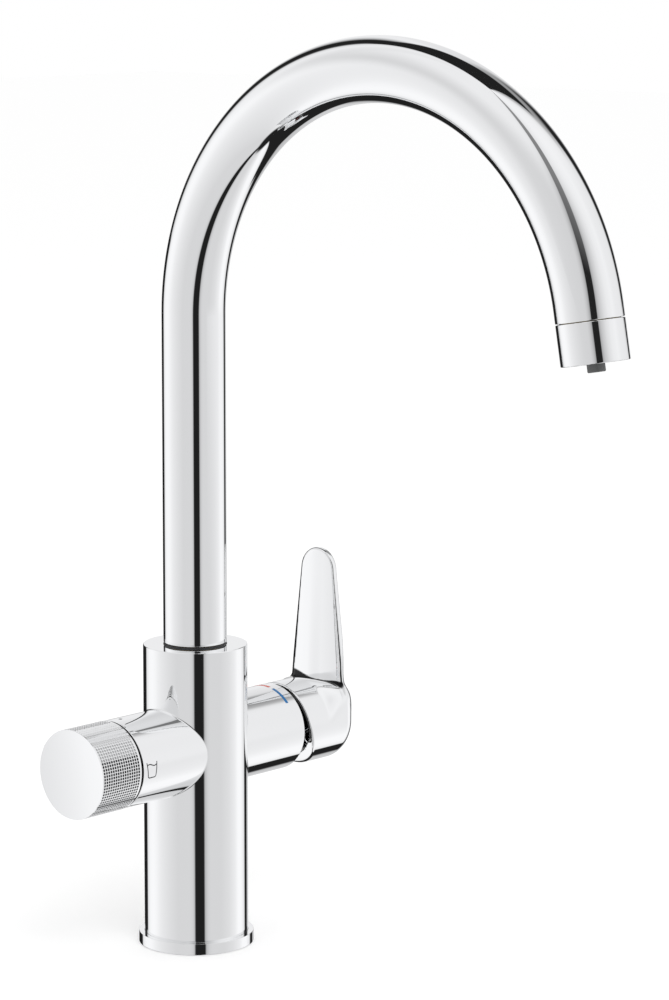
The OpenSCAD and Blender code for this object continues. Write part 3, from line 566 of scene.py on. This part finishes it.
# Lever. One brass casting, a round cap that runs over into a thin paddle. It is ground by
# hand and chromed, so every vertex of its rough form is laid on one smooth skin.
TIP_Z, TIP_R, TAPER = 67.8, 9.9, atan(0.1176)
PADDLE_TOP = TIP_Z + TIP_R
CAP_BACK, HOLLOW_R, HOLLOW_END = 86, 17.5, 74.5
RIM_X, RIM_CENTRE_X, RIM_Z, RIM_R = 52.6, 116.6, 17.07, 64
BOSS_R, SOCKET_HALF, SCREW_R = 6.51, 3.55, 2.55
FAR, VOXEL, ROUNDS, RELAXED = 99, 0.38, 20, range(4, 14)
# The colour of the shade painted into the crease at the paddle's foot.
CREASE_SHADE_COLOUR = (0.015, 0.015, 0.016)


def ease(low, high, value):
    """0 at low and 1 at high, with a soft step between."""
    part = np.clip((value - low) / (high - low), 0, 1)
    return part * part * (3 - 2 * part)


def common(one, other, radius):
    """What two forms share, its edge rounded. A form gives how far a place lies outside it."""
    corner = np.hypot(np.maximum(one + radius, 0), np.maximum(other + radius, 0))
    return np.minimum(np.maximum(one, other), -radius) + corner


def joined(one, other, radius):
    """Two forms as one, with a fillet between them."""
    return -common(-one, -other, radius)


def cap_radius(place):
    """The cap's radius towards a place. Its top grows flatter and squarer up to the paddle."""
    x, y, z = place.T
    out = np.hypot(y, z) + 1e-4
    square = ease(66, 82, x)
    power = np.where(z > 0, 2 + 3.5 * square, 2)
    height = np.where(z > 0, ARM_R - 2.8 * square, ARM_R)
    bulge = (np.abs(y) / ARM_R) ** power + (np.abs(z) / height) ** power
    return np.minimum(out / bulge ** (1 / power), FAR)


def past_rim(x, z):
    """How far a place lies past the cap's open rim, which draws back from the arm below."""
    return np.where(z < RIM_Z, np.hypot(x - RIM_CENTRE_X, z - RIM_Z) - RIM_R, RIM_X - x)


def paddle(x, y, z):
    """The thin blade, crowned on the side of the spout, with rolled edges."""
    wide = np.abs(y)

    # Its outline from the front has a round tip and tapered sides. The edge's roll grows
    # towards the foot and is wider on one side.
    roll = (1.4 + 2.1 * ease(75, 15, z)) * (1 + 0.8 * ease(-4, 4, y))
    half = TIP_R + 0.1 * roll
    side = wide * cos(TAPER) + (z - TIP_Z) * sin(TAPER) - half
    tip = np.hypot(y, z - TIP_Z) - half
    outline = np.where((z - TIP_Z) * cos(TAPER) > wide * sin(TAPER), tip, side)
    inside = -outline

    # The inner side leans back slightly, is crowned, and rolls over at the outline.
    breadth = half + np.maximum(TIP_Z - z, 0) * 0.118
    crown = inside * (2 * breadth - inside) / 200
    short = np.clip(0.77 * roll - inside, 0, 0.9 * roll)
    rolled = roll - np.sqrt(roll ** 2 - short ** 2)
    inner = 79.3 + 0.6 * (z - 18.5) / 59.2 - crown + rolled - 0.16 * roll
    return np.maximum(common(outline, inner - x, 0.5), 4 - z)


def lever_form(place):
    """How far places, in millimetres from the arm's axis, lie outside the lever."""
    x, y, z = place.T
    wide, out = np.abs(y), np.hypot(y, z) + 1e-4

    # Cap and paddle, with a fillet that is widest at the sides.
    cap = out - cap_radius(place)
    fillet = (0.7 + 2.3 * np.minimum(wide / 17, 1.1) ** 4) * ease(3, 14, z)
    body = joined(cap, paddle(x, y, z), 0.02 + fillet)

    # The crowned back, rolled over at its edge, and the open rim.
    back = 83 + (PADDLE_TOP - z) ** 2 / 2600 - y ** 2 / 170
    back = back + (CAP_BACK - back) * ease(22, 4, z)
    body = common(body, x - back, 1.1 + 5.9 * ease(40, 5, z))
    rim = past_rim(x, z)
    below = ease(2, -13, z)
    body = common(body, rim, 0.6 + 0.5 * below)

    # The hollow, with a thicker lip below, round the boss in its middle.
    lip = ease(6, 1.5, -rim) * below
    hollow = common(out - HOLLOW_R + 3 * lip, x - HOLLOW_END, 0.8)
    boss = np.maximum(out - BOSS_R, 62 - x)
    hollow = np.maximum(common(hollow, cap + 1.6, 0.5), -boss)
    body = common(body, -hollow, 0.55 + 0.5 * lip)

    # The boss's square socket for the spindle, and the set screw's hole.
    socket = np.maximum(wide, np.abs(z)) - SOCKET_HALF
    socket = np.maximum(socket, np.maximum(x - 72, 60 - x))
    screw = np.maximum(np.hypot(x - 68.25, y) - SCREW_R, z)
    return common(body, -np.minimum(socket, screw), 0.25)


def slopes(places):
    """The direction in which the form grows at each place, and how fast."""
    step = 0.02
    parts = [lever_form(places + way) - lever_form(places - way) for way in np.eye(3) * step]
    return np.stack(parts, axis=1) / (2 * step)


def units(vectors):
    """The vectors with a length of one."""
    return vectors / np.linalg.norm(vectors, axis=1)[:, None]


lever = added("lever_ground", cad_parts["lever_handle"].data.copy())
pick(lever)
start("lever_ground")
edit_all()
bpy.ops.mesh.remove_doubles(threshold=1e-6)
bpy.ops.object.mode_set(mode="OBJECT")
apply(lever, "REMESH", mode="VOXEL", voxel_size=VOXEL * MM)
flat = np.empty(len(lever.data.vertices) * 3)
lever.data.vertices.foreach_get("co", flat)
places = flat.reshape(-1, 3) * 1000 - (0, 0, ARM_Z)

# The rough cap's walls are first moved to about where the skin has them.
x, y, z = places.T
out = np.hypot(y, z)
wall = cap_radius(places)
from_rim = RIM_R - np.hypot(x - RIM_CENTRE_X, z - RIM_Z)
near_rim = ease(7, 1, from_rim) * ease(2, -13, z)
inner_wall = np.minimum(HOLLOW_R, wall - 1.7) * (1 - 0.17 * near_rim)
between = inner_wall + (out - HOLLOW_R) / (ARM_R - HOLLOW_R) * (wall - inner_wall)
moved = np.where(out < HOLLOW_R, np.minimum(out, inner_wall), between)
on_cap = (x < 79) & (out < ARM_R + 0.2) & (out > 1)
places[:, 1:] *= np.where(on_cap, moved / np.maximum(out, 1), 1)[:, None]

# Then all vertices go to the skin in short steps, and spread out evenly on the way.
ends = np.empty(len(lever.data.edges) * 2, np.int32)
lever.data.edges.foreach_get("vertices", ends)
first, second = ends.reshape(-1, 2).T
links = np.bincount(ends, minlength=len(places))
for round_ in range(ROUNDS):
    if round_ in RELAXED:
        total = [np.bincount(first, part[second], len(places))
                 + np.bincount(second, part[first], len(places)) for part in places.T]
        places = places + 0.5 * (np.stack(total, axis=1) / links[:, None] - places)
    slope = slopes(places)
    steep = np.maximum((slope ** 2).sum(axis=1), 0.25)
    move = np.clip(lever_form(places) / steep, -0.8, 0.8)
    places = places - slope * move[:, None]
lever.data.vertices.foreach_set("co", ((places + (0, 0, ARM_Z)) * MM).ravel())
lever.data.update()

# The shading follows the skin. The paddle's inner side leans a little, and its edges turn
# more slowly, so that they show the flags as the photograph does.
x, y, z = places.T
normals = units(slopes(places))
leaning = (0.11 - 0.05 * ease(5, -13, y)) * ease(0.7, 0.95, -normals[:, 0])
normals[:, 1] += leaning * (x > 76)
facing = np.degrees(np.arctan2(normals[:, 1], -normals[:, 0]))
wanted = np.radians(np.interp(
    facing, [-64, -56, -37, -32, 17, 22, 50, 60], [-64, -52, -42.5, -32, 17, 26, 37, 60]))
on_edge = (x > 78) & (z > 16) & (np.abs(normals[:, 2]) < 0.4) & (np.abs(facing) < 64)
level = np.hypot(normals[:, 0], normals[:, 1])
normals[:, 0] = np.where(on_edge, -level * np.cos(wanted), normals[:, 0])
normals[:, 1] = np.where(on_edge, level * np.sin(wanted), normals[:, 1])
# Shade is painted into the crease at the foot of the paddle's inner side: the chrome there turns
# dark and rougher where it faces back towards the column, in a band that follows the crease's
# height.
crease_z = 16.6 * np.maximum(1 - (np.abs(y) / ARM_R) ** 5.5, 0.01) ** 0.18
crease_high = 1 + 3.5 * ease(-2, 16, y) + ease(-6, -16, y)
crease_shade_mask = (x > 76) * ease(-0.05, -0.3, normals[:, 0])
crease_shade_mask = crease_shade_mask * ease(1.1, 0.9, (z - crease_z) / crease_high)
crease_data = lever.data.attributes.new("crease", "FLOAT", "POINT").data
crease_data.foreach_set("value", crease_shade_mask.astype(np.float32))
smooth(lever, 180)
lever.data.normals_split_custom_set_from_vertices(units(normals))
lever_chrome, net = new_material("lever_chrome")
# The chrome takes the painted shade of the crease in its colour and roughness.
crease = net.add("ShaderNodeAttribute", {"attribute_name": "crease"}, out=2)
finish_material(net, Base_Color=crease.mixed(CHROME, CREASE_SHADE_COLOUR), Metallic=1.0,
                Roughness=wiped(net, place_in(net), 0.02) + crease * 0.2)
dress(lever, lever_chrome, "lever", "chrome_lever", "lever_handle")

# Marks. A red and a blue stroke on the mixer's arm, and a tumbler and a dot on the filter's
# arm. They are inlaid with hard enamel, which stands a hair above the chrome.
STROKE_X, STROKE_LEN, STROKE_SPIN = 44.6, 1.5, 31
SIGN_X, SIGN_LINE, SIGN_R = -46.5, 0.34, 19.18


def enamel(name, colour):
    """Hard enamel with a fine speckle."""
    material, net = new_material(name)
    speckle = noise(net, place_in(net), 3.0, 2.0)
    deep = tuple(part * 0.85 for part in colour)
    finish_material(net, Base_Color=speckle.between(0.3, 0.7).mixed(colour, deep),
                    Roughness=0.3 + speckle * 0.1)
    return material


for name, hue, turn, colour in (("hot", "red", -22, (0.75, 0.075, 0.035)),
                                ("cold", "blue", 15, (0.01, 0.16, 0.42))):
    bpy.ops.object.select_all(action="DESELECT")
    bpy.ops.mesh.primitive_plane_add(size=1, location=(0, 0, 0), rotation=(pi / 2, 0, 0))
    stroke = start(name + "_stroke")
    stroke.scale = (STROKE_LEN * MM, 0.29 * MM, 1)
    stroke.location = (STROKE_X * MM, 0, 19.3 * MM)
    bpy.ops.object.transform_apply(location=True, rotation=True, scale=True)
    edit_all()
    bpy.ops.mesh.spin(steps=40, angle=-radians(STROKE_SPIN), center=(0, 0, 0), axis=(1, 0, 0))
    bpy.ops.mesh.select_all(action="SELECT")
    bpy.ops.mesh.remove_doubles(threshold=1e-7)
    bpy.ops.mesh.fill_holes(sides=4)
    close_edit()
    lay(stroke, (turn, 0, 0), (0, 0, ARM_Z))
    smooth(stroke, 20)
    dress(stroke, enamel(hue + "_enamel", colour), "tap_body", hue + "_mark", name + "_mark")

grey_enamel = enamel("grey_enamel", (0.02, 0.021, 0.023))
glass_left = [(-2.99, 3.4), (-2.3, -2.5), (-2.05, -3.05), (-1.5, -3.25)]
glass = glass_left + [(-x, z) for x, z in reversed(glass_left)]
water = [(-2.8 + 0.35 * i, 2.2 + 0.4 * sin(0.35 * i * 1.15)) for i in range(17)]
sign_curve = bpy.data.curves.new("tumbler_line", "CURVE")
sign_curve.dimensions = "3D"
sign_curve.bevel_depth = SIGN_LINE * MM
sign_curve.bevel_resolution = 3
sign_curve.use_fill_caps = True
for line in (glass, water):
    fine = [line[0]]
    for (x, z), (next_x, next_z) in zip(line, line[1:]):
        count = max(1, round(hypot(next_x - x, next_z - z) / 0.4))
        fine += [(x + (next_x - x) * i / count, z + (next_z - z) * i / count)
                 for i in range(1, count + 1)]
    spline = sign_curve.splines.new("POLY")
    spline.points.add(len(fine) - 1)
    for point, (x, z) in zip(spline.points, fine):
        depth = SIGN_R * cos(asin(z / SIGN_R))
        point.co = ((x + SIGN_X) * MM, -depth * MM, (z + ARM_Z) * MM, 1)
sign = added("tumbler_line", sign_curve)
pick(sign)
bpy.ops.object.convert(target="MESH")
smooth(sign, 40)
dress(sign, grey_enamel, "tap_body", "grey_mark", "tumbler_sign")
dot = turned("index_dot", [(0.8, 18.9), (0.8, 19.4), (0.74, 19.44)], 48)
lay(dot, move=(SIGN_X, 0, ARM_Z))
smooth(dot)
dress(dot, grey_enamel, "tap_body", "grey_mark", "index_mark")


# Swivel. Two black slide bushes guide the brass spigot in the column, two rubber rings seal
# it, and a steel screw from behind stops its turn.
def line_noise(net, place, axis, scale):
    """Fine lines across an axis, as a turning tool leaves them."""
    values = {"W": net.split(place)["XYZ".index(axis)], "Scale": scale, "Detail": 2.0}
    return net.add("ShaderNodeTexNoise", {"noise_dimensions": "1D"}, values)


def brass(name, axis, lit_share=1.0):
    """Bare turned brass, a little darkened by handling. A low last argument paints shade into
    its colour, for brass that is seen through a narrow gap."""
    material, net = new_material(name)
    place = place_in(net)
    lines = line_noise(net, place, axis, 6.0)
    clean, old = (tuple(part * lit_share for part in colour)
                  for colour in ((0.71, 0.55, 0.27), (0.46, 0.33, 0.14)))
    colour = noise(net, place, 0.25, 4.0).between(0.4, 0.75).mixed(clean, old)
    finish_material(net, Base_Color=colour, Metallic=1.0, Roughness=0.2 + lines * 0.16,
                    Normal=bumped(net, lines, 0.004))
    return material


def plastic(name, colour, rough, grain=0.012):
    """Moulded plastic with a fine grain and faint flow marks."""
    material, net = new_material(name)
    place = place_in(net)
    fine = noise(net, place, 4.0, 3.0)
    flow = noise(net, place, 0.12, 2.0)
    deep = tuple(part * 0.82 for part in colour)
    finish_material(net, Base_Color=flow.between(0.35, 0.7).mixed(colour, deep),
                    Roughness=rough + fine * 0.12, Normal=bumped(net, fine, grain))
    return material


def steel(name, axis):
    """Plain steel with the marks of drawing and turning."""
    material, net = new_material(name)
    place = place_in(net)
    lines = line_noise(net, place, axis, 5.0)
    colour = noise(net, place, 0.6, 3.0).mixed((0.6, 0.61, 0.62), (0.48, 0.49, 0.5))
    finish_material(net, Base_Color=colour, Metallic=1.0, Roughness=0.22 + lines * 0.15,
                    Normal=bumped(net, lines, 0.003))
    return material


def finish_nodes(material, *names):
    """Gives CAD nodes a material in place of their plain one."""
    for name in names:
        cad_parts[name].data.materials.clear()
        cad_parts[name].data.materials.append(material)


rubber, net = new_material("black_rubber")
place = place_in(net)
skin = noise(net, place, 2.5, 4.0)
bloom = noise(net, place, 0.2, 2.0).between(0.5, 0.8)
finish_material(net, Base_Color=bloom.mixed((0.022, 0.022, 0.024), (0.05, 0.05, 0.052)),
                Roughness=0.62 + skin * 0.2, Normal=bumped(net, skin, 0.02))
bush_black = plastic("bush_black", (0.028, 0.028, 0.03), 0.34)
finish_nodes(rubber, "base_seal", "spigot_o_ring", "stem_o_ring")
finish_nodes(bush_black, "swivel_bush_upper", "swivel_bush_lower")
finish_nodes(brass("spigot_brass", "Z"), "spout_spigot")
finish_nodes(steel("screw_steel", "Y"), "swivel_stop_screw")

# Mixer cartridge. A bought insert of white and blue plastic with two ceramic discs, held
# by a brass ring nut, and hidden under a glossy black dome.
ceramic, net = new_material("disc_ceramic")
grit = net.add("ShaderNodeTexVoronoi", {}, {"Vector": place_in(net), "Scale": 3.0})
colour = grit.between(0.0, 0.5).mixed((0.86, 0.83, 0.77), (0.91, 0.89, 0.85))
finish_material(net, Base_Color=colour, Roughness=0.16 + grit * 0.1, Coat_Weight=0.4)
cartridge_white = plastic("cartridge_white", (0.8, 0.8, 0.76), 0.42)
finish_nodes(cartridge_white, "cartridge_base", "cartridge_housing", "disc_carrier")
finish_nodes(plastic("rotor_blue", (0.07, 0.2, 0.3), 0.4), "cartridge_rotor")
finish_nodes(ceramic, "cartridge_fixed_disc", "moving_disc", "valve_fixed_disc",
             "valve_moving_disc")
finish_nodes(rubber, "cartridge_seals")
# The ring nut's brass shows only through a narrow gap, so shade is painted into its colour.
finish_nodes(brass("nut_brass", "X", 0.3), "cartridge_ring_nut")
finish_nodes(plastic("dome_black", (0.016, 0.017, 0.018), 0.16, 0.003), "cartridge_dome")
finish_nodes(steel("spindle_steel", "X"), "lever_spindle", "lever_pivot_pin",
             "lever_set_screw")
finish_nodes(lever_chrome, "lever_plug")

# Filter valve. A small brass valve with ceramic discs. Its stem carries the knob on a black
# plastic insert, fixed by a steel screw.
finish_nodes(brass("valve_brass", "X"), "valve_body", "valve_stem")
finish_nodes(rubber, "valve_seal", "valve_o_ring")
finish_nodes(steel("clip_steel", "X"), "stem_clip", "knob_screw")
finish_nodes(plastic("insert_black", (0.03, 0.03, 0.032), 0.45), "knob_insert")

# Outlet. The filtered water has its own white tube through the spout, and leaves by a grey
# nozzle in the middle of the dark aerator's jets.
# The adapter's brass shows in the narrow seam above the sleeve, so shade is painted into its
# colour.
finish_nodes(brass("adapter_brass", "Z", 0.25), "outlet_adapter")
finish_nodes(rubber, "aerator_seal")
tube_white, net = new_material("tube_white")
drawn = noise(net, place_in(net), 0.8, 3.0)
finish_material(net, Base_Color=drawn.mixed((0.8, 0.81, 0.82), (0.7, 0.72, 0.74)),
                Roughness=0.3 + drawn * 0.15, Normal=bumped(net, drawn, 0.01))
finish_nodes(tube_white, "filtered_tube")
finish_nodes(plastic("aerator_dark", (0.09, 0.092, 0.095), 0.42), "aerator_housing")
finish_nodes(plastic("jet_grey", (0.16, 0.165, 0.17), 0.38), "jet_plate")
finish_nodes(plastic("nozzle_grey", (0.11, 0.113, 0.112), 0.3, 0.006), "filtered_nozzle")
